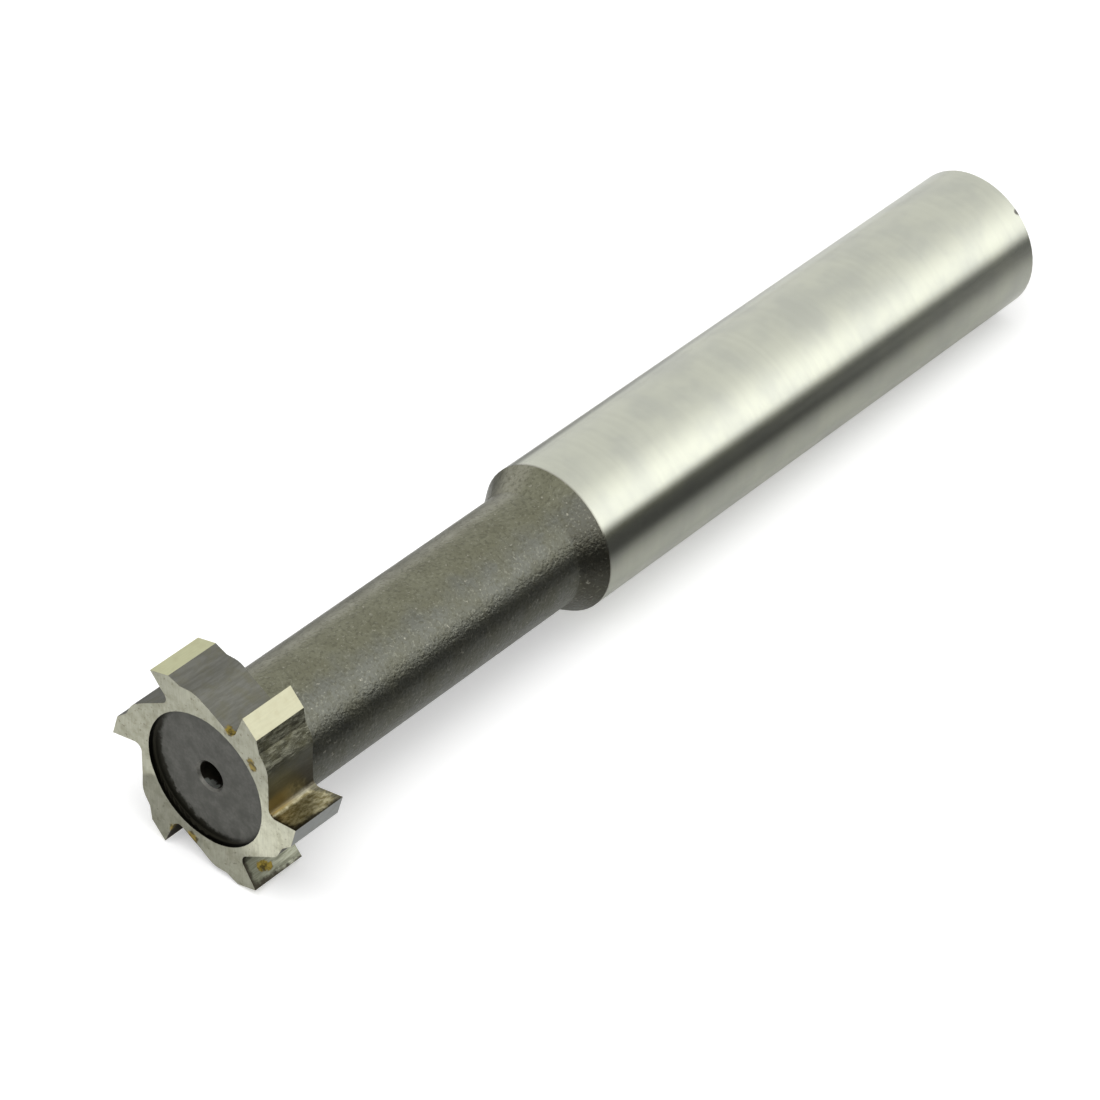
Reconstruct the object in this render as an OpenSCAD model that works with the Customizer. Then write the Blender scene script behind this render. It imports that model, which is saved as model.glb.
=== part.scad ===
// T slot cutter: a toothed head on a turned neck, with a straight ground shank.
// The tool lies along X: the head points to -X and the shank to +X.

/* [Shank and neck] */
// Length of the whole tool
overall_l = 119; // [100:0.5:140]
// Diameter of the ground shank
shank_d = 16; // [14:0.5:20]
// Length of the ground shank, from the shoulder to the end
shank_l = 70.5; // [55:0.5:80]
// Chamfer round the end of the shank
end_chamfer = 0.4; // [0.2:0.1:1.5]
// Diameter of the neck behind the head
neck_d = 12.7; // [11.5:0.1:13.5]
// Angle between the shoulder's cone and the axis
shoulder_angle = 32; // [20:1:60]

/* [Head] */
// Diameter over the tips of the teeth
cutter_d = 23; // [22:0.1:26]
// Width of the head along the axis
head_w = 6.3; // [4:0.1:10]
// Number of teeth
teeth = 6; // [5:1:7]
// Diameter of the circle that the bottoms of the gullets reach
root_d = 16; // [15.4:0.1:17]
// Angle by which each side of the head is dished towards the axis
side_dish = 3; // [1:0.5:5]
// Angle from a tooth's edge back to the middle of its ground side facet
facet_turn = 8; // [0:1:15]

/* [Teeth] */
// Angle of the rake face, hooked forward from the radius
rake = 4; // [0:0.5:10]
// Width of the ground land behind the cutting edge
land_w = 2.35; // [1.5:0.05:2.8]
// Angle between the land and the tip circle
land_relief = 19; // [12:1:24]
// Width of the heel behind the land
heel_w = 1.5; // [0.8:0.05:1.8]
// Angle between the heel and the tip circle
heel_relief = 53; // [40:1:58]
// Width of the back behind the heel
back_w = 1.7; // [1.2:0.05:2.2]
// Angle between the back and the tip circle
back_relief = 30; // [24:1:36]
// Radius where the back turns over into the gullet
crest_r = 2.5; // [1:0.1:3]
// Radius at the bottom of the gullet
gullet_r = 0.8; // [0.4:0.05:1.2]

/* [Face recess and centres] */
// Diameter of the round recess in the front face
recess_d = 14.2; // [10:0.1:14.4]
// Depth of the recess, from the tips of the teeth
recess_depth = 0.9; // [0.6:0.05:2]
// Radius in the corner of the recess
recess_fillet = 0.35; // [0.1:0.05:0.5]
// Diameter of the centre holes in both ends
centre_d = 2.9; // [2:0.1:4]
// Depth of the centre holes, to the end of their straight wall
centre_l = 5; // [3:0.5:8]
// Chamfer round the mouths of the centre holes
centre_chamfer = 0.25; // [0.1:0.05:0.6]
// Full angle of the drilled point in the centre holes
drill_point = 118; // [90:1:140]

/* [Hidden] */
$fn = 96;

tip_r = cutter_d / 2;
root_r = root_d / 2;
neck_r = neck_d / 2;
shank_r = shank_d / 2;
recess_r = recess_d / 2;
centre_r = centre_d / 2;
pitch = 360 / teeth;

// Along the axis the shank starts at 0, and the head lies on the negative side.
front = shank_l - overall_l;
head_back = front + head_w;
shoulder_l = (shank_r - neck_r) / tan(shoulder_angle);
recess_floor = front + recess_depth;

// How far a cut runs clear of the face that it starts from
clear = 1;
// How far a rounding patch reaches past the sides of its corner
patch_reach = 0.2;
// How far a rounding arc runs over the sides that it meets
arc_lap = 0.002;

function unit(v) = v / norm(v);
function turned(p, a) = [p.x * cos(a) - p.y * sin(a), p.x * sin(a) + p.y * cos(a)];
// A step backwards from a tooth's edge, falling by an angle from the tip circle
function step_back(w, a) = w * [-sin(a), cos(a)];

// The outline of one tooth, with its edge on the first axis and its back turned to the second
tip = [tip_r, 0];
land_end = tip + step_back(land_w, land_relief);
heel_end = land_end + step_back(heel_w, heel_relief);
crest = heel_end + step_back(back_w, back_relief);
rake_l = tip_r * cos(rake) - sqrt(root_r * root_r - pow(tip_r * sin(rake), 2));
root = tip + rake_l * [-cos(rake), sin(rake)];
next_root = turned(root, pitch);
next_tip = turned(tip, pitch);

// The tool lies on the end of one land and on the next tip, so that line is turned level and down.
rest_line = next_tip - land_end;
rest_turn = -atan2(rest_line.y, rest_line.x);

// The piece between a corner and an arc that touches both of its sides
module corner_patch(before, corner, after, r) {
    to_before = unit(before - corner);
    to_after = unit(after - corner);
    half = acos(to_before * to_after) / 2;
    inward = unit(to_before + to_after);
    centre = corner + inward * r / sin(half);
    touch_before = corner + to_before * r / tan(half);
    touch_after = corner + to_after * r / tan(half);
    past = 1 + patch_reach / r;
    difference() {
        polygon([
            corner - inward * patch_reach,
            centre + (touch_before - centre) * past,
            centre,
            centre + (touch_after - centre) * past
        ]);
        translate(centre)
            circle(r + arc_lap);
    }
}

module at_each_tooth() {
    for (k = [0 : teeth - 1])
        rotate(k * pitch)
            children();
}

// Section through the head: teeth with flat lands and round gullets
module head_outline() {
    difference() {
        union() {
            polygon([
                for (k = [0 : teeth - 1])
                    for (p = [root, tip, land_end, heel_end, crest])
                        turned(p, k * pitch)
            ]);
            at_each_tooth()
                corner_patch(crest, next_root, next_tip, gullet_r);
        }
        at_each_tooth()
            corner_patch(heel_end, crest, next_root, crest_r);
    }
}

// Hollow ground into a side of the head: one flat facet to each tooth, lowest at the axis
module side_hollow() {
    block = 2 * cutter_d;
    intersection_for (k = [0 : teeth - 1])
        rotate(k * pitch + facet_turn)
            translate([tip_r * cos(facet_turn), 0, 0])
                rotate([0, -side_dish, 0])
                    translate([-block, -block / 2, 0])
                        cube(block);
}

module head() {
    difference() {
        translate([0, 0, front])
            linear_extrude(head_w)
                head_outline();
        translate([0, 0, front])
            mirror([0, 0, 1])
                side_hollow();
        translate([0, 0, head_back])
            side_hollow();
    }
}

// Neck, shoulder and shank in one turned profile
module stem() {
    rotate_extrude()
        polygon([
            [0, head_back - head_w / 2],
            [neck_r, head_back - head_w / 2],
            [neck_r, -shoulder_l],
            [shank_r, 0],
            [shank_r, shank_l - end_chamfer],
            [shank_r - end_chamfer, shank_l],
            [0, shank_l]
        ]);
}

// Shallow round recess with a rounded corner, cut into the front face
module face_recess() {
    rotate_extrude() {
        translate([0, front - clear])
            square([recess_r, recess_depth + clear - recess_fillet]);
        translate([0, front - clear])
            square([recess_r - recess_fillet, recess_depth + clear]);
        translate([recess_r - recess_fillet, recess_floor - recess_fillet])
            circle(recess_fillet);
    }
}

// Drilled centre hole with a chamfered mouth at the origin, going up
module centre_hole() {
    mouth_r = centre_r + centre_chamfer;
    point_l = centre_r / tan(drill_point / 2);
    rotate_extrude()
        polygon([
            [0, -clear],
            [mouth_r, -clear],
            [mouth_r, 0],
            [centre_r, centre_chamfer],
            [centre_r, centre_l],
            [0, centre_l + point_l]
        ]);
}

module cutter() {
    color("silver")
        rotate([90, 0, 90])
            difference() {
                union() {
                    rotate(rest_turn)
                        head();
                    stem();
                }
                face_recess();
                translate([0, 0, recess_floor])
                    centre_hole();
                translate([0, 0, shank_l])
                    mirror([0, 0, 1])
                        centre_hole();
            }
}

cutter();
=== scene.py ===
import math

import bmesh
import bpy
from mathutils import Matrix, Vector


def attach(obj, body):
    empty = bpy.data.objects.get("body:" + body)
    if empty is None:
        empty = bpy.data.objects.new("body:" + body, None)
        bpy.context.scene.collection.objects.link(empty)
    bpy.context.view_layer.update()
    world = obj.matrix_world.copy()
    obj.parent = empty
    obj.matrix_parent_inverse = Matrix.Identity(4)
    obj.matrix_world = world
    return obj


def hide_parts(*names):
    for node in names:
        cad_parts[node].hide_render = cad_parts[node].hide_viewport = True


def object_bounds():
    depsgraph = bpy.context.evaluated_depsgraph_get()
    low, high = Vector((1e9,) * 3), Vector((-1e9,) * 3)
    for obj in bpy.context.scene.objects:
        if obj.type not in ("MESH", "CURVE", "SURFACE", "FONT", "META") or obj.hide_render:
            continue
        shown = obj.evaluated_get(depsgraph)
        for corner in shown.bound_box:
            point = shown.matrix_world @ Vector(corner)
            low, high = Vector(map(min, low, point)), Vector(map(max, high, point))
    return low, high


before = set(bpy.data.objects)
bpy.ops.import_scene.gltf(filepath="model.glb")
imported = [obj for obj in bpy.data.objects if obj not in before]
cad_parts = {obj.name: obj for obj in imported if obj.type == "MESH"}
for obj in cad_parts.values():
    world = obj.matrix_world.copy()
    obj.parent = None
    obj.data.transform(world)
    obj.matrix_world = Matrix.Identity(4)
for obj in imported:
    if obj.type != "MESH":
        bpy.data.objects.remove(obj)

cad_low, cad_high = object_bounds()
MM = 0.001

# Places along the axis and sizes of the tool, in mm
FRONT = cad_low.x / MM
HEAD_WIDTH = 6.3
HEAD_MIDDLE = FRONT + HEAD_WIDTH / 2
HEAD_BACK = FRONT + HEAD_WIDTH
SHANK_START = 0.0
SHANK_END = cad_high.x / MM
SHANK_RADIUS = 8.0
NECK_RADIUS = 6.35
LAND_FLOOR_RADIUS = 10.5
SIDE_DISH_DEPTH = 0.45
RECESS_RADIUS = 7.1
BORE_RADIUS = 1.45
BORE_MOUTH_RADIUS = 1.7

# Teeth, named as they follow each other round the head, from the highest one
TOOTH_NAMES = "ABCDEF"
FIRST_TIP_ANGLE = 57.2
PITCH = 360 / len(TOOTH_NAMES)
# How far before its tooth's edge a face of each kind starts, as an angle, or after it, below zero
LEADS = {"rake": 3, "land": 3, "flank": -3}

# Width of the broken edges on the head, and the angle above which an edge is broken
EDGE_BREAK = 0.09
SHARP_ANGLE = 35
# Faces that meet below these angles are one flat area, or one round surface
FLAT_ANGLE = 0.4
ROUND_ANGLE = 20
MERGE_DISTANCE = 1e-4

# Least share of the axis in the normals of flat ends, of the head's sides and of chamfers
END_FACING = 0.95
SIDE_FACING = 0.5
CHAMFER_FACING = 0.3
# Least share of the cutting direction in the normals of rake faces
RAKE_FACING = 0.6

# How the faces of single teeth differ from the rest: painted light and shade, drawn lighter, darker or
# bluer
PAINTED_TOOTH_LIGHT = {
    ("land", "A"): (1.15, 1.18, 1.05),
    ("land", "C"): (1.0, 1.06, 1.45),
    ("rake", "D"): (0.9, 0.93, 0.88),
    ("rake", "E"): (0.15, 0.12, 0.1),
    ("rake", "C"): (0.6, 0.56, 0.48),
    ("flank", "B"): (1.15, 1.15, 1.05),
}
NO_PAINTED_LIGHT = (1, 1, 1)
# The tooth whose back is left coarse
TORN_TOOTH = "B"
# Painted light and shade round the ring of side facets: the angle about the axis, and the level there
SIDE_PAINTED_LIGHT = [
    (0, 1.0),
    (60, 0.93),
    (90, 0.99),
    (110, 0.88),
    (154, 0.9),
    (160, 1.12),
    (190, 1.5),
    (213, 1.5),
    (236, 0.8),
    (274, 0.76),
    (276, 0.6),
    (334, 0.6),
    (336, 1.0),
]

# Marks: angle round the axis, distance from it, depth behind the front face, and size
OIL_FILMS = [
    (177.5, 9.2, 1.6, 2.6),
    (177.5, 9.8, 4.0, 2.0),
    (174.0, 8.0, 0.7, 1.5),
]
STAINS = [
    (113.5, 8.35, 0.4, 0.6),
    (141.0, 7.9, 0.2, 0.55),
    (137.5, 8.1, 0.2, 0.5),
    (283.0, 8.15, 0.2, 0.65),
    (237.7, 9.85, 1.8, 0.5),
    (237.7, 10.1, 2.15, 0.5),
    (237.7, 10.4, 2.55, 0.4),
    (298.0, 9.2, 0.5, 0.6),
]
# Painted light: a lit patch on the wall inside the mouth of the centre hole
BORE_GLINT = [
    (302, BORE_RADIUS, 1.25, 0.4),
    (281, BORE_RADIUS, 1.4, 0.5),
    (258, BORE_RADIUS, 1.4, 0.45),
]
# A nick in the rim at the end of the shank
NICK_SIZE = 0.4
NICK = [(132.9, SHANK_RADIUS, SHANK_END - FRONT - NICK_SIZE, NICK_SIZE)]
# Shares of a mark's size at which it ends and at which it is full
MARK_EDGE = (1.15, 0.75)
# How much of the metal's shine a stain takes away
STAIN_DULLING = 0.3

# Radii between which the backs of the teeth grow coarse, turn dark and turn oily
TORN_RADII = (9.2, 9.8)
SHADED_RADII = (9.3, 8.2)
OILED_RADII = (8.45, 8.15)
# Radii and places along the axis between which the oil turns gold
GOLD_RADII = (8.5, 8.3)
GOLD_PLACES = (FRONT + 4.5, FRONT + 1.5)
# Dark rims on the rake faces, along their cutting edges and their front edges, the one along the front
# edge
# being painted shade: how far they reach, how much slimmer they are at the back of the head, and how
# dark they get
RIM_RADII = (10.6, 11.2)
RIM_PLACES = (FRONT + 0.8, FRONT + 0.2)
RIM_SLIMMER = 0.4
RIM_SHARE = 0.92
# Dirt and painted shade along the wall of the recess: the side where it is widest, which is the shaded
# side, its widths, and the radii over which it thickens
DIRT_AND_SHADE_SIDE = (0, 0.75, -0.66)
DIRT_AND_SHADE_WIDTHS = (0.1, 1.2)
DIRT_AND_SHADE_RADII = (RECESS_RADIUS - 0.45, RECESS_RADIUS + 0.15)
# Places along the axis between which the shank's grinding and the shoulder's cone, with the painted
# shade on its lower side, set in
GRINDING_PLACES = (SHANK_START + 0.05, SHANK_START + 0.45)
CONE_PLACES = (SHANK_START - 2.9, SHANK_START - 2.3)
# Angles about the axis between which painted reflections and painted shade change the colour of the
# neck and shoulder, counted from level on the near side over the top, and how far its mottling moves
# them
OLIVE_ANGLES = (70, 100)
PALE_ANGLES = (98, 112)
FAR_ANGLES = (185, 150)
LOWER_ANGLES = (75, 35)
UNDER_ANGLES = (-170, -110)
NECK_RAGGED = 40

# Colours of the finishes
INKS = {
    "shank": {
        "ground": (0.68, 0.695, 0.585),
        "cloud": (0.605, 0.62, 0.54),
        "line": (0.5, 0.505, 0.44),
        "start": (0.3, 0.29, 0.24),
        "nick": (0.16, 0.155, 0.14),
    },
    "scale": {
        # grey, olive and pale follow painted reflections round the neck; below is painted shade on the
        # shoulder
        "grey": (0.172, 0.176, 0.15),
        "olive": (0.252, 0.252, 0.178),
        "pale": (0.37, 0.365, 0.285),
        "mottle": (0.15, 0.147, 0.096),
        "grain": (0.11, 0.108, 0.075),
        "below": (0.06, 0.055, 0.04),
        "fleck": (0.42, 0.42, 0.34),
        "speck": (0.55, 0.53, 0.44),
    },
    "recess": {
        "dark": (0.093, 0.093, 0.083),
        "pale": (0.14, 0.139, 0.126),
        "grain": (0.08, 0.08, 0.072),
        "dirt_and_shade": (0.022, 0.021, 0.015),
    },
    # Near black: painted shade on the wall of the recess
    "recess_wall": {
        "dark": (0.005, 0.005, 0.004),
        "pale": (0.015, 0.014, 0.01),
    },
    "bore": {
        # Near black for painted shade in the hole, with a glint of painted light
        "dark": (0.05, 0.046, 0.036),
        "pale": (0.13, 0.115, 0.09),
        "glint": (0.86, 0.9, 0.84),
    },
    "bore_edge": {
        "dark": (0.1, 0.1, 0.09),
        "pale": (0.24, 0.235, 0.21),
    },
    "side": {
        "dark": (0.31, 0.31, 0.242),
        "pale": (0.55, 0.55, 0.44),
        "cloud": (0.27, 0.265, 0.188),
        "pit": (0.16, 0.14, 0.09),
    },
    "land": {
        "dark": (0.5, 0.49, 0.345),
        "pale": (0.62, 0.605, 0.43),
        "cloud": (0.48, 0.45, 0.3),
    },
    "flank": {
        "dark": (0.17, 0.17, 0.145),
        "pale": (0.21, 0.21, 0.185),
        "torn_dark": (0.09, 0.088, 0.066),
        "torn_pale": (0.31, 0.31, 0.26),
        "cloud": (0.17, 0.165, 0.11),
        "shade": (0.085, 0.072, 0.05),
    },
    "rake": {
        "dark": (0.22, 0.22, 0.17),
        "pale": (0.5, 0.5, 0.41),
        "front": (0.12, 0.12, 0.09),
        "rim": (0.035, 0.03, 0.022),
        "glance": (0.64, 0.62, 0.6),
    },
    "edge": {
        "dull": (0.5, 0.5, 0.41),
        "worn": (0.9, 0.89, 0.77),
    },
    "oil": {
        "dark": (0.29, 0.24, 0.1),
        "pale": (0.85, 0.79, 0.52),
        "grey": (0.36, 0.34, 0.25),
        "gold": (0.29, 0.21, 0.07),
    },
    "stain": {
        "dark": (0.06, 0.045, 0.01),
        "pale": (0.27, 0.2, 0.035),
    },
}

# Camera, fitted to the photograph
CAMERA_AZIMUTH = -50.469
CAMERA_ELEVATION = 37.560
CAMERA_ROLL = 1.150
CAMERA_AIM = Vector((3.6655, 2.6473, -4.9145))
CAMERA_DISTANCE = 454.51
CAMERA_LENS = 150.39
CAMERA_SENSOR = 36
CAMERA_CLIP = (0.01, 10)

# Studio, in metres: a tent whose colour, as metal shows it, changes with the angle about the tool's
# axis, from level on the near side (0) over the top (90) to level on the far side (180)
TENT_DARK = (0.033, 0.031, 0.012)
TENT_COLOURS = [
    (-180, (0.8, 0.8, 0.8)),
    (-90, TENT_DARK),
    (7.5, TENT_DARK),
    (19.5, (1.5, 1.5, 1.5)),
    (40, (1.5, 1.5, 1.5)),
    (80, (0.9, 0.9, 0.9)),
    (110, (0.8, 0.8, 0.8)),
    (180, (0.8, 0.8, 0.8)),
]
# The tent's dark side ends lower towards the end of the shank, by an angle
TENT_LEAN = {"start": 0.665, "end": 0.74, "low": 0, "high": 14}
AMBIENT = (0.45, 0.45, 0.45)
WHITE = (1, 1, 1)
SOFTBOX_DIRECTION = Vector((-0.3, -0.2, 0.9))
SOFTBOX_DISTANCE = 0.8
SOFTBOX_SIZE = 0.9
SOFTBOX_POWER = 5.8
# Floor: its lift for the camera keeps it white
FLOOR_SIZE = 2.0
FLOOR_LEVEL = 0.8
FLOOR_LIFT = 0.38
# Levels of the floor as metal shows it, across the tool, darkened as painted shade: on the near side,
# under the tool and behind it
FLOOR_NEAR = {"start": -0.035, "end": -0.005, "low": 0.06, "high": 0.55}
FLOOR_UNDER = {"start": -0.009, "end": -0.003, "high": 0.45}
FLOOR_BEHIND = {"start": 0.02, "end": 0.035}
# Painted light: the floor behind the tool brightens along the shank as metal shows it, and so does a
# strip on the near side
FLOOR_BRIGHTENS = {"start": 0.03, "end": 0.1, "low": 0.27, "high": 0.85}
FLOOR_STRIP_ALONG = {"start": 0.055, "end": 0.1, "high": 0.14}
FLOOR_STRIP_ACROSS = {"start": -0.1, "end": -0.05}


# Node helpers

# Places of the two colours and of the blended one among the sockets of a mix node
MIX_FIRST = 6
MIX_SECOND = 7
MIX_RESULT = 2


def plug(tree, socket, value):
    """Link a socket to another one, or set it to a constant."""
    if isinstance(value, bpy.types.NodeSocket):
        tree.links.new(value, socket)
    elif socket.type == "RGBA":
        socket.default_value = (*value, 1)
    else:
        socket.default_value = value


def node(tree, kind, sockets=None, **settings):
    made = tree.nodes.new("ShaderNode" + kind)
    for name, value in settings.items():
        setattr(made, name, value)
    for name, value in (sockets or {}).items():
        plug(tree, made.inputs[name], value)
    return made


def maths(tree, operation, *values):
    made = node(tree, "Math", dict(enumerate(values)), operation=operation)
    return made.outputs[0]


def ramp(tree, value, start, end, low=0.0, high=1.0):
    """Value taken from start..end to low..high, smoothly, and held outside."""
    sockets = {"Value": value, "From Min": start, "From Max": end, "To Min": low, "To Max": high}
    return node(tree, "MapRange", sockets, interpolation_type="SMOOTHSTEP").outputs[0]


def blend(tree, share, first, second):
    """A colour that goes from the first to the second one with a share."""
    made = node(tree, "Mix", data_type="RGBA")
    plug(tree, made.inputs["Factor"], share)
    plug(tree, made.inputs[MIX_FIRST], first)
    plug(tree, made.inputs[MIX_SECOND], second)
    return made.outputs[MIX_RESULT]


def product(tree, first, second):
    """Two colours or places multiplied, part by part."""
    return node(tree, "VectorMath", {0: first, 1: second}, operation="MULTIPLY").outputs[0]


def colour_ramp(tree, share, stops):
    """Colours that follow each other along a share, each at its own place."""
    made = node(tree, "ValToRGB", {"Fac": share})
    elements = made.color_ramp.elements
    while len(elements) < len(stops):
        elements.new(1.0)
    for element, (place, colour) in zip(elements, stops):
        element.position = place
        element.color = (*colour, 1)
    return made.outputs["Color"]


def noise(tree, where, scale, detail=4.0, roughness=0.6, stretch=(1, 1, 1)):
    """Cloudy noise with that many cells to a mm, drawn out along an axis by a stretch below 1."""
    sockets = {
        "Vector": product(tree, where, stretch),
        "Scale": scale,
        "Detail": detail,
        "Roughness": roughness,
    }
    return node(tree, "TexNoise", sockets).outputs["Fac"]


def relief(tree, height, depth, strength=1.0):
    """Normals of a surface with that height map and that depth in mm."""
    sockets = {"Height": height, "Strength": strength, "Distance": depth * MM}
    return node(tree, "Bump", sockets).outputs["Normal"]


# Places on the tool
def places(tree):
    """Coordinates on the tool in mm."""
    where = node(tree, "TexCoord").outputs["Object"]
    scaled = node(tree, "VectorMath", {0: where, "Scale": 1 / MM}, operation="SCALE")
    return scaled.outputs[0]


def along_axis(tree, where):
    return node(tree, "SeparateXYZ", {0: where}).outputs["X"]


def from_axis(tree, where):
    """Distance from the tool's axis."""
    flat = product(tree, where, (0, 1, 1))
    return node(tree, "VectorMath", {0: flat}, operation="LENGTH").outputs["Value"]


def rise(tree, where):
    """Angle about the axis: 0 level on the near side, 90 at the top, 180 level on the far side."""
    parts = node(tree, "SeparateXYZ", {0: where})
    nearward = maths(tree, "MULTIPLY", parts.outputs["Y"], -1.0)
    return maths(tree, "DEGREES", maths(tree, "ARCTAN2", parts.outputs["Z"], nearward))


def polar(angle, radius, depth):
    """A place on the tool, by its angle, its distance from the axis and its depth behind the front."""
    turn = math.radians(angle)
    return Vector((FRONT + depth, radius * math.cos(turn), radius * math.sin(turn)))


# Wear, dirt, and painted light and shade
def frayed(tree, where, scale, amount, **grain):
    """Noise about zero that tears the edges of marks."""
    centred = maths(tree, "SUBTRACT", noise(tree, where, scale, **grain), 0.5)
    return maths(tree, "MULTIPLY", centred, amount)


def marks(tree, where, spots, ragged):
    """Where the spots lie, with edges torn by noise: 1 inside and 0 outside."""
    torn = frayed(tree, where, scale=1.7, amount=ragged)
    share = 0.0
    for *place, size in spots:
        away = node(tree, "VectorMath", {0: where, 1: polar(*place)}, operation="DISTANCE")
        reach = maths(tree, "ADD", maths(tree, "DIVIDE", away.outputs["Value"], size), torn)
        share = maths(tree, "MAXIMUM", share, ramp(tree, reach, *MARK_EDGE))
    return share


def under_painted_light(tree, colour):
    """A colour under the painted light and shade of its tooth."""
    painted_light = node(tree, "Attribute", attribute_name="painted_light").outputs["Vector"]
    return product(tree, colour, painted_light)


def oiled(tree, where, colour, share):
    """A colour under a share of the oil films, which turn gold at the bottom of the gullet."""
    ink = INKS["oil"]
    oil = maths(tree, "MULTIPLY", marks(tree, where, OIL_FILMS, ragged=1.2), share)
    blots = noise(tree, where, 2.6, detail=5.0, roughness=0.7, stretch=(0.5, 1, 1))
    film = blend(tree, ramp(tree, blots, 0.34, 0.7), ink["dark"], ink["pale"])
    front = ramp(tree, along_axis(tree, where), *GOLD_PLACES)
    gold = blend(tree, front, ink["grey"], ink["gold"])
    film = blend(tree, ramp(tree, from_axis(tree, where), *GOLD_RADII), film, gold)
    return blend(tree, oil, colour, film)


def rake_rim(tree, where):
    """How dark the rim of a rake face is, with painted shade along its front edge: it is slimmer
    towards the back of the head.
    """
    along = along_axis(tree, where)
    torn = frayed(tree, where, scale=1.5, amount=1.3)
    slimmer = ramp(tree, along, FRONT, HEAD_BACK, high=RIM_SLIMMER)
    outer = maths(tree, "SUBTRACT", maths(tree, "ADD", from_axis(tree, where), torn), slimmer)
    at_edge = ramp(tree, outer, *RIM_RADII)
    at_front = ramp(tree, maths(tree, "ADD", along, torn), *RIM_PLACES)
    return maths(tree, "MULTIPLY", maths(tree, "MAXIMUM", at_edge, at_front), RIM_SHARE)


def ring_painted_light(tree, where):
    """Painted light and shade on the side facets: their level by the angle about the axis."""
    parts = node(tree, "SeparateXYZ", {0: where})
    turn = maths(tree, "ARCTAN2", parts.outputs["Z"], parts.outputs["Y"])
    share = maths(tree, "FRACT", maths(tree, "DIVIDE", turn, math.tau))
    stops = [(angle / 360, (level, level, level)) for angle, level in SIDE_PAINTED_LIGHT]
    return colour_ramp(tree, share, stops)


def recess_dirt_and_shade(tree, where):
    """Where dirt and painted shade lie along the wall of the recess, widest on the shaded side."""
    side = node(tree, "VectorMath", {0: where, 1: DIRT_AND_SHADE_SIDE}, operation="DOT_PRODUCT")
    width = ramp(tree, side.outputs["Value"], 0.0, RECESS_RADIUS, *DIRT_AND_SHADE_WIDTHS)
    torn = frayed(tree, where, scale=1.3, amount=2.6, detail=5.0, roughness=0.7)
    reach = maths(tree, "ADD", from_axis(tree, where), maths(tree, "MULTIPLY_ADD", torn, width, width))
    return ramp(tree, reach, *DIRT_AND_SHADE_RADII)


# Finishes
def dress(tree, shader, colour, roughness, normal=None):
    plug(tree, shader.inputs["Base Color"], colour)
    plug(tree, shader.inputs["Roughness"], roughness)
    if normal is not None:
        plug(tree, shader.inputs["Normal"], normal)


def dress_head(tree, shader, where, colour, roughness, normal):
    """A finish of the head with brown stains on it."""
    ink = INKS["stain"]
    cloud = noise(tree, where, 1.1, detail=5.0)
    brown = blend(tree, ramp(tree, cloud, 0.42, 0.58), ink["dark"], ink["pale"])
    stain = marks(tree, where, STAINS, ragged=1.8)
    dress(tree, shader, blend(tree, stain, colour, brown), roughness, normal)
    plug(tree, shader.inputs["Metallic"], maths(tree, "MULTIPLY_ADD", stain, -STAIN_DULLING, 1.0))


def ground_shank(tree, shader, where, ink):
    """Cylindrical grinding: fine lines round the axis, coarser towards the end, and a soft start."""
    lines = noise(tree, where, 1.6, detail=2.0, stretch=(1, 0.05, 0.05))
    clouds = noise(tree, where, 0.22, detail=3.0, roughness=0.5)
    along = along_axis(tree, where)
    colour = blend(tree, ramp(tree, clouds, 0.35, 0.7), ink["ground"], ink["cloud"])
    colour = blend(tree, ramp(tree, lines, 0.35, 0.7, high=0.1), colour, ink["line"])
    cloudy = maths(tree, "MULTIPLY_ADD", clouds, 0.3, along)
    colour = blend(tree, ramp(tree, cloudy, *GRINDING_PLACES), ink["start"], colour)
    colour = blend(tree, marks(tree, where, NICK, ragged=0.8), colour, ink["nick"])
    coarser = ramp(tree, along, SHANK_START, SHANK_END, low=0.2, high=0.258)
    fine = maths(tree, "MULTIPLY", maths(tree, "SUBTRACT", lines, 0.5), 0.02)
    dress(tree, shader, colour, roughness=maths(tree, "ADD", coarser, fine))


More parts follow.
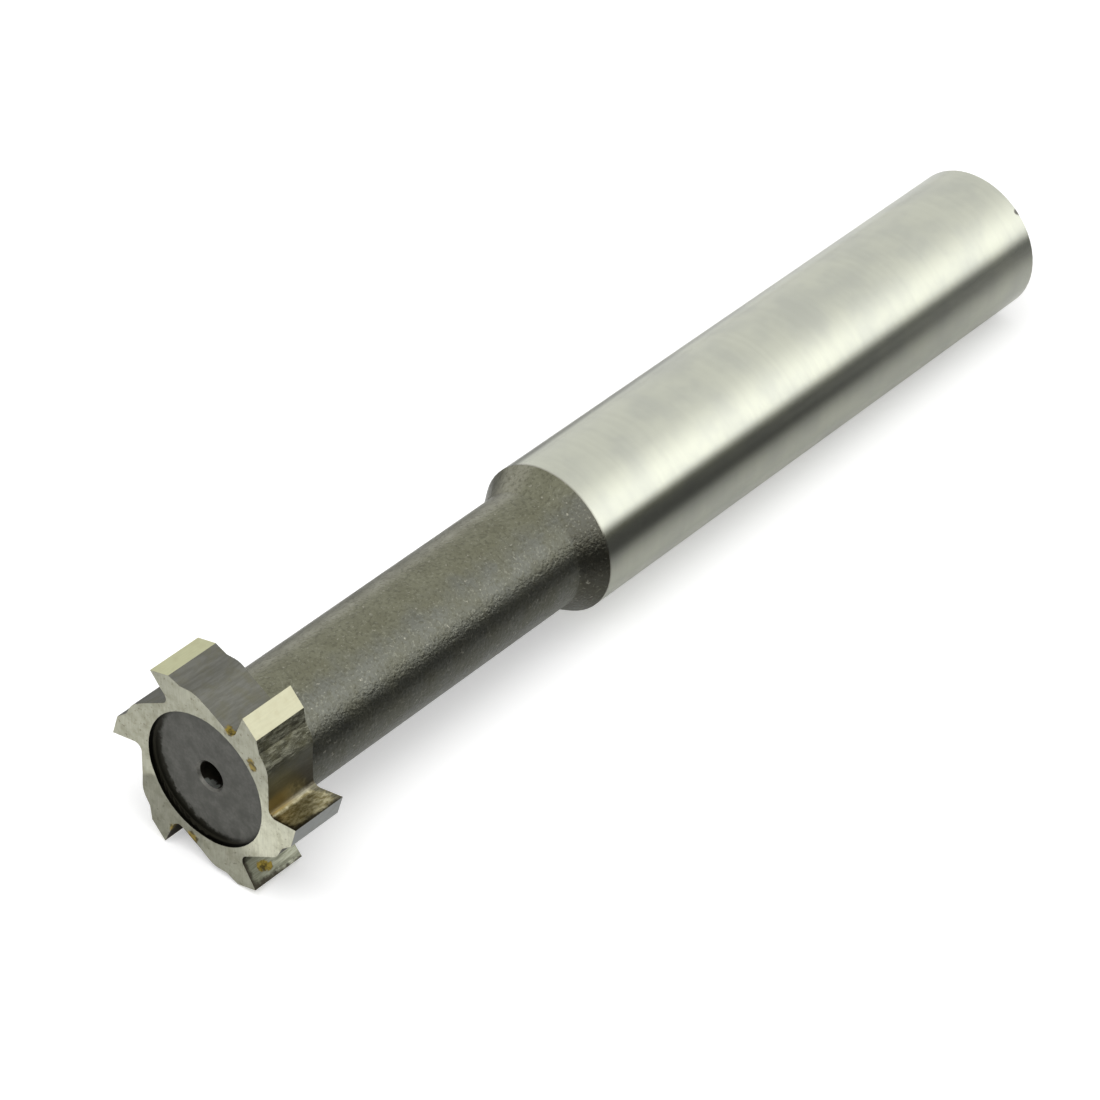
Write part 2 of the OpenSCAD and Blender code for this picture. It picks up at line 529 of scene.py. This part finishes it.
def scaled_steel(tree, shader, where, ink):
    """Neck and shoulder as turned and hardened: dull and speckled, with painted reflections that make
    them olive and pale above and greyer below, and painted shade on the shoulder's lower near side.
    """
    turned = noise(tree, where, 5.0, detail=3.0, roughness=0.7, stretch=(1, 0.08, 0.08))
    grain = noise(tree, where, 2.8, detail=3.0)
    mottle = noise(tree, where, 0.4, detail=5.0)
    # Painted reflections: olive, then pale, towards the top
    angle = rise(tree, where)
    ragged = maths(tree, "MULTIPLY_ADD", mottle, NECK_RAGGED, angle)
    not_far = ramp(tree, ragged, *FAR_ANGLES)
    olive = maths(tree, "MULTIPLY", ramp(tree, ragged, *OLIVE_ANGLES), not_far)
    colour = blend(tree, olive, ink["grey"], ink["olive"])
    pale = maths(tree, "MULTIPLY", ramp(tree, angle, *PALE_ANGLES), not_far)
    colour = blend(tree, pale, colour, ink["pale"])
    colour = blend(tree, ramp(tree, mottle, 0.35, 0.7, high=0.45), colour, ink["mottle"])
    colour = blend(tree, ramp(tree, grain, 0.45, 0.7, high=0.55), colour, ink["grain"])
    # Painted shade on the lower near side of the shoulder
    below = ramp(tree, angle, *LOWER_ANGLES, high=0.5)
    below = maths(tree, "MULTIPLY", below, ramp(tree, angle, *UNDER_ANGLES))
    below = maths(tree, "MULTIPLY", below, ramp(tree, along_axis(tree, where), *CONE_PLACES))
    colour = blend(tree, below, colour, ink["below"])
    flecks = noise(tree, where, 3.4, detail=2.0)
    colour = blend(tree, ramp(tree, flecks, 0.56, 0.7, high=0.3), colour, ink["fleck"])
    specks = noise(tree, where, 1.7, detail=3.0)
    colour = blend(tree, ramp(tree, specks, 0.66, 0.74, high=0.5), colour, ink["speck"])
    roughness = ramp(tree, mottle, 0.3, 0.7, low=0.28, high=0.33)
    height = maths(tree, "MULTIPLY_ADD", turned, 0.5, grain)
    dress(tree, shader, colour, roughness, relief(tree, height, depth=0.06))


def recess_steel(tree, shader, where, ink):
    """Bottom of the recess: dark grey and mottled, with dirt and painted shade along its wall."""
    grain = noise(tree, where, 3.0, detail=5.0, roughness=0.65)
    mottle = noise(tree, where, 0.7)
    colour = blend(tree, ramp(tree, mottle, 0.3, 0.7), ink["dark"], ink["pale"])
    colour = blend(tree, ramp(tree, grain, 0.3, 0.7, high=0.5), colour, ink["grain"])
    # Dirt and painted shade in the corner by the wall
    colour = blend(tree, recess_dirt_and_shade(tree, where), colour, ink["dirt_and_shade"])
    dress(tree, shader, colour, roughness=0.48, normal=relief(tree, grain, depth=0.006))


def recess_wall(tree, shader, where, ink):
    """Wall of the recess: near black, painted shade for the wall in shadow."""
    grain = noise(tree, where, 3.0)
    dress(tree, shader, blend(tree, grain, ink["dark"], ink["pale"]), roughness=0.55)


def bore_wall(tree, shader, where, ink):
    """Drilled centre: near black, painted shade, with a patch of painted light inside its mouth."""
    grain = noise(tree, where, 2.0)
    colour = blend(tree, grain, ink["dark"], ink["pale"])
    # Painted light: a lit patch inside the mouth
    colour = blend(tree, marks(tree, where, BORE_GLINT, ragged=1.5), colour, ink["glint"])
    dress(tree, shader, colour, roughness=0.5)


def bore_edge(tree, shader, where, ink):
    """Brighter chamfer at the mouth of the drilled centre."""
    grain = noise(tree, where, 4.0)
    dress(tree, shader, blend(tree, grain, ink["dark"], ink["pale"]), roughness=0.4)


def ground_side(tree, shader, where, ink):
    """Ground sides of the teeth: pale, with fine lines and small pits."""
    lines = noise(tree, where, 6.0, stretch=(1, 1, 0.1))
    cloud = noise(tree, where, 0.8, detail=5.0, roughness=0.65)
    pits = noise(tree, where, 2.3, detail=3.0)
    colour = blend(tree, lines, ink["dark"], ink["pale"])
    colour = blend(tree, ramp(tree, cloud, 0.4, 0.7, high=0.7), colour, ink["cloud"])
    colour = blend(tree, ramp(tree, pits, 0.6, 0.7, high=0.6), colour, ink["pit"])
    # Painted light and shade: each facet lighter or darker by its angle and by its tooth
    colour = under_painted_light(tree, product(tree, colour, ring_painted_light(tree, where)))
    dress_head(tree, shader, where, colour, roughness=0.36, normal=relief(tree, lines, depth=0.004))


def ground_land(tree, shader, where, ink):
    """Ground lands behind the cutting edges."""
    lines = noise(tree, where, 6.0, stretch=(0.1, 1, 1))
    cloud = noise(tree, where, 1.1)
    colour = blend(tree, lines, ink["dark"], ink["pale"])
    colour = blend(tree, ramp(tree, cloud, 0.45, 0.75, high=0.5), colour, ink["cloud"])
    # Painted light and shade of the tooth
    colour = under_painted_light(tree, colour)
    dress_head(tree, shader, where, colour, roughness=0.36, normal=relief(tree, lines, depth=0.004))


def milled_flank(tree, shader, where, ink):
    """Milled backs of the teeth, left dark by the heat treatment, with streaks along the tool."""
    coarse = node(tree, "Attribute", attribute_name="torn").outputs["Fac"]
    radius = from_axis(tree, where)
    torn = maths(tree, "MULTIPLY", coarse, ramp(tree, radius, *TORN_RADII))
    fine = noise(tree, where, 2.8, roughness=0.65, stretch=(0.16, 1, 1))
    crumbs = noise(tree, where, 2.3, roughness=0.7, stretch=(0.34, 1, 1))
    streaks = ramp(tree, torn, 0.0, 1.0, low=fine, high=crumbs)
    dark = blend(tree, torn, ink["dark"], ink["torn_dark"])
    pale = blend(tree, torn, ink["pale"], ink["torn_pale"])
    colour = blend(tree, ramp(tree, streaks, 0.38, 0.66), dark, pale)
    cloud = noise(tree, where, 0.8)
    colour = blend(tree, ramp(tree, cloud, 0.4, 0.75, high=0.6), colour, ink["cloud"])
    shade = maths(tree, "MULTIPLY", coarse, ramp(tree, radius, *SHADED_RADII, high=0.8))
    # Painted light and shade of the tooth
    colour = under_painted_light(tree, blend(tree, shade, colour, ink["shade"]))
    colour = oiled(tree, where, colour, share=ramp(tree, radius, *OILED_RADII, high=0.5))
    roughness = ramp(tree, torn, 0.0, 1.0, low=0.4, high=0.6)
    strength = ramp(tree, torn, 0.0, 1.0, low=0.35, high=1.0)
    bump = relief(tree, streaks, depth=0.12, strength=strength)
    dress_head(tree, shader, where, colour, roughness, bump)


def ground_rake(tree, shader, where, ink):
    """Rake faces: ground along the cutting edge, darker to the front, with oil and dark rims, painted
    shade along the front edge.
    """
    lines = noise(tree, where, 4.0, roughness=0.65, stretch=(0.1, 1, 1))
    colour = blend(tree, ramp(tree, lines, 0.35, 0.65), ink["dark"], ink["pale"])
    forward = ramp(tree, along_axis(tree, where), HEAD_BACK, FRONT, high=0.75)
    # Painted light and shade of the tooth, darkest on E's rake
    colour = under_painted_light(tree, blend(tree, forward, colour, ink["front"]))
    colour = oiled(tree, where, colour, share=0.85)
    # Dark rims: painted shade along the front edge
    colour = blend(tree, rake_rim(tree, where), colour, ink["rim"])
    dress_head(tree, shader, where, colour, roughness=0.34, normal=relief(tree, lines, depth=0.02))
    plug(tree, shader.inputs["Specular Tint"], ink["glance"])


def worn_edge(tree, shader, where, ink):
    """Broken edges of the teeth: brighter than the faces beside them."""
    wear = noise(tree, where, 2.0)
    dress(tree, shader, blend(tree, wear, ink["dull"], ink["worn"]), roughness=0.4)


FINISHES = {
    "shank": ground_shank,
    "scale": scaled_steel,
    "recess": recess_steel,
    "recess_wall": recess_wall,
    "bore": bore_wall,
    "bore_edge": bore_edge,
    "side": ground_side,
    "land": ground_land,
    "flank": milled_flank,
    "rake": ground_rake,
    "edge": worn_edge,
}


def steel(name):
    """A metal with the finish and the colours of that name."""
    made = bpy.data.materials.new(name)
    made.use_nodes = True
    tree = made.node_tree
    shader = tree.nodes["Principled BSDF"]
    plug(tree, shader.inputs["Metallic"], 1.0)
    FINISHES[name](tree, shader, places(tree), INKS[name])
    return made


# The tool
def radial(point):
    return Vector((0, point.y, point.z))


def zone_of(face, broken_edges):
    """Name of the finish on a face of the tool."""
    middle = face.calc_center_median() / MM
    outward = radial(middle)
    radius = outward.length
    lying = abs(face.normal.x)
    if middle.x > SHANK_START:
        return "shank"
    if middle.x > HEAD_BACK + EDGE_BREAK:
        return "scale"
    if radius < BORE_MOUTH_RADIUS and lying < END_FACING:
        at_mouth = radius > BORE_RADIUS - EDGE_BREAK and lying > CHAMFER_FACING
        return "bore_edge" if at_mouth else "bore"
    if radius < RECESS_RADIUS + EDGE_BREAK / 2 and middle.x < HEAD_MIDDLE:
        return "recess_wall" if lying < SIDE_FACING else "recess"
    on_tooth = radius > RECESS_RADIUS + 3 * EDGE_BREAK and middle.x < HEAD_BACK - SIDE_DISH_DEPTH
    if face in broken_edges and on_tooth:
        return "edge"
    if lying > SIDE_FACING:
        return "side"
    if radius < NECK_RADIUS + EDGE_BREAK:
        return "scale"
    cutting = (outward / radius).cross(Vector((1, 0, 0)))
    if face.normal.dot(cutting) > RAKE_FACING:
        return "rake"
    return "land" if radius > LAND_FLOOR_RADIUS else "flank"


def tooth_of(face, zone):
    """Name of the tooth that a face belongs to."""
    middle = face.calc_center_median()
    turn = math.degrees(math.atan2(middle.z, middle.y)) - FIRST_TIP_ANGLE + LEADS.get(zone, 0)
    return TOOTH_NAMES[int(turn % 360 // PITCH)]


def on_head(edge):
    return all(v.co.x / MM < HEAD_BACK + EDGE_BREAK for v in edge.verts)


def break_edges(work):
    """Break the sharp edges of the head, and give the faces that this makes."""
    sharp = [
        e for e in work.edges
        if on_head(e) and e.calc_face_angle(0) > math.radians(SHARP_ANGLE)
    ]
    bevel = bmesh.ops.bevel(
        work, geom=sharp, offset=EDGE_BREAK * MM, segments=1, profile=0.5,
        affect="EDGES", clamp_overlap=True,
    )
    return set(bevel["faces"])


def dressed_mesh(cad):
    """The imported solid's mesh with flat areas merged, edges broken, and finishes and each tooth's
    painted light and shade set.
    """
    work = bmesh.new()
    work.from_mesh(cad.data)
    bmesh.ops.remove_doubles(work, verts=work.verts, dist=MERGE_DISTANCE * MM)
    flat = math.radians(FLAT_ANGLE)
    bmesh.ops.dissolve_limit(work, angle_limit=flat, verts=work.verts, edges=work.edges)
    broken_edges = break_edges(work)
    painted_light_layer = work.faces.layers.float_vector.new("painted_light")
    torn_layer = work.faces.layers.float.new("torn")
    names = list(FINISHES)
    for face in work.faces:
        zone = zone_of(face, broken_edges)
        tooth = tooth_of(face, zone)
        face.smooth = True
        face.material_index = names.index(zone)
        # Each face takes the painted light and shade of its tooth
        face[painted_light_layer] = PAINTED_TOOTH_LIGHT.get((zone, tooth), NO_PAINTED_LIGHT)
        face[torn_layer] = 1.0 if tooth == TORN_TOOTH else 0.0
    for edge in work.edges:
        edge.smooth = edge.calc_face_angle(0) < math.radians(ROUND_ANGLE)
    mesh = bpy.data.meshes.new("cutter_dressed")
    work.to_mesh(mesh)
    work.free()
    return mesh


def turned_normals(mesh):
    """True normals on the turned surfaces, which the flat facets only come near to."""
    normals = [(0, 0, 0)] * len(mesh.loops)
    for face in mesh.polygons:
        middle = face.center / MM
        lying = abs(face.normal.x)
        if middle.x < HEAD_BACK - SIDE_DISH_DEPTH or lying > END_FACING:
            continue
        for loop in face.loop_indices:
            out = radial(mesh.vertices[mesh.loops[loop].vertex_index].co).normalized()
            if radial(face.normal).dot(out) < 0:
                out.negate()
            normals[loop] = Vector((face.normal.x, 0, 0)) + out * math.sqrt(1 - lying * lying)
    mesh.normals_split_custom_set(normals)


def dressed_tool(cad):
    mesh = dressed_mesh(cad)
    turned_normals(mesh)
    for name in FINISHES:
        mesh.materials.append(steel(name))
    tool = bpy.data.objects.new("t_slot_cutter", mesh)
    bpy.context.scene.collection.objects.link(tool)
    return tool


# Studio
def floor_paper():
    """White paper for the camera, which metal sees darkened by painted shade on both sides of the tool.
    """
    material = bpy.data.materials.new("floor")
    material.use_nodes = True
    tree = material.node_tree
    shader = tree.nodes["Principled BSDF"]
    rays = node(tree, "LightPath")
    spot = node(tree, "SeparateXYZ", {0: node(tree, "TexCoord").outputs["Object"]})
    along = spot.outputs["X"]
    across = spot.outputs["Y"]
    # Painted shade on the floor as metal sees it, near the tool
    near = maths(tree, "ADD", ramp(tree, across, **FLOOR_NEAR), ramp(tree, across, **FLOOR_UNDER))
    strip = ramp(tree, along, **FLOOR_STRIP_ALONG)
    near = maths(tree, "MULTIPLY_ADD", strip, ramp(tree, across, **FLOOR_STRIP_ACROSS), near)
    far = ramp(tree, across, **FLOOR_BEHIND, low=1.0, high=ramp(tree, along, **FLOOR_BRIGHTENS))
    shown = maths(tree, "MINIMUM", near, far)
    level = ramp(tree, rays.outputs["Is Glossy Ray"], 0.0, 1.0, low=FLOOR_LEVEL, high=shown)
    dress(tree, shader, level, roughness=1.0)
    plug(tree, shader.inputs["Specular IOR Level"], 0.0)
    plug(tree, shader.inputs["Emission Color"], WHITE)
    lift = maths(tree, "MULTIPLY", rays.outputs["Is Camera Ray"], FLOOR_LIFT)
    plug(tree, shader.inputs["Emission Strength"], lift)
    return material


def floor_under(cad):
    """A pale floor that touches the lowest tooth and the end of the shank."""
    points = [v.co for v in cad.data.vertices]
    low = min(points, key=lambda p: p.z)
    slope = min((p.z - low.z) / (p.x - low.x) for p in points if p.x > low.x + MM)
    half = FLOOR_SIZE / 2
    corners = [(-half, -half, 0), (half, -half, 0), (half, half, 0), (-half, half, 0)]
    mesh = bpy.data.meshes.new("floor")
    mesh.from_pydata(corners, [], [(0, 1, 2, 3)])
    mesh.materials.append(floor_paper())
    floor = bpy.data.objects.new("floor", mesh)
    floor.rotation_euler = (0, -math.atan(slope), 0)
    floor.location = (0, 0, low.z - slope * low.x)
    bpy.context.scene.collection.objects.link(floor)


def studio_world():
    """White for the camera, a pale room with one dark side for reflections, and even soft light."""
    world = bpy.data.worlds.new("studio")
    bpy.context.scene.world = world
    world.use_nodes = True
    tree = world.node_tree
    tree.nodes.clear()
    rays = node(tree, "LightPath")
    towards = node(tree, "TexCoord").outputs["Generated"]
    lean = ramp(tree, along_axis(tree, towards), **TENT_LEAN)
    angle = maths(tree, "ADD", rise(tree, towards), lean)
    share = maths(tree, "MULTIPLY_ADD", angle, 1 / 360, 0.5)
    stops = [(degrees / 360 + 0.5, colour) for degrees, colour in TENT_COLOURS]
    tent = colour_ramp(tree, share, stops)
    room = blend(tree, rays.outputs["Is Glossy Ray"], AMBIENT, tent)
    seen = blend(tree, rays.outputs["Is Camera Ray"], room, WHITE)
    light = node(tree, "Background", {"Color": seen, "Strength": 1.0})
    node(tree, "OutputWorld", {"Surface": light.outputs[0]})


def softbox():
    data = bpy.data.lights.new("softbox", "AREA")
    data.shape = "SQUARE"
    data.size = SOFTBOX_SIZE
    data.energy = SOFTBOX_POWER
    lamp = bpy.data.objects.new("softbox", data)
    lamp.location = SOFTBOX_DIRECTION.normalized() * SOFTBOX_DISTANCE
    lamp.rotation_mode = "QUATERNION"
    lamp.rotation_quaternion = SOFTBOX_DIRECTION.to_track_quat("Z", "Y")
    lamp.visible_glossy = False
    bpy.context.scene.collection.objects.link(lamp)


def camera():
    data = bpy.data.cameras.new("camera")
    data.sensor_fit = "HORIZONTAL"
    data.sensor_width = CAMERA_SENSOR
    data.lens = CAMERA_LENS
    data.clip_start, data.clip_end = CAMERA_CLIP
    azimuth = math.radians(CAMERA_AZIMUTH)
    elevation = math.radians(CAMERA_ELEVATION)
    level = math.cos(elevation)
    back = Vector((math.sin(azimuth) * level, -math.cos(azimuth) * level, math.sin(elevation)))
    place = Matrix.Translation((CAMERA_AIM + back * CAMERA_DISTANCE) * MM)
    turn = back.to_track_quat("Z", "Y").to_matrix().to_4x4()
    roll = Matrix.Rotation(math.radians(CAMERA_ROLL), 4, "Z")
    cam = bpy.data.objects.new("camera", data)
    cam.matrix_world = place @ turn @ roll
    bpy.context.scene.collection.objects.link(cam)
    bpy.context.scene.camera = cam


cad_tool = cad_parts["cutter"]
tool = dressed_tool(cad_tool)
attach(tool, "root")
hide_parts("cutter")

floor_under(cad_tool)
studio_world()
softbox()
camera()
bpy.context.scene.view_settings.view_transform = "Standard"
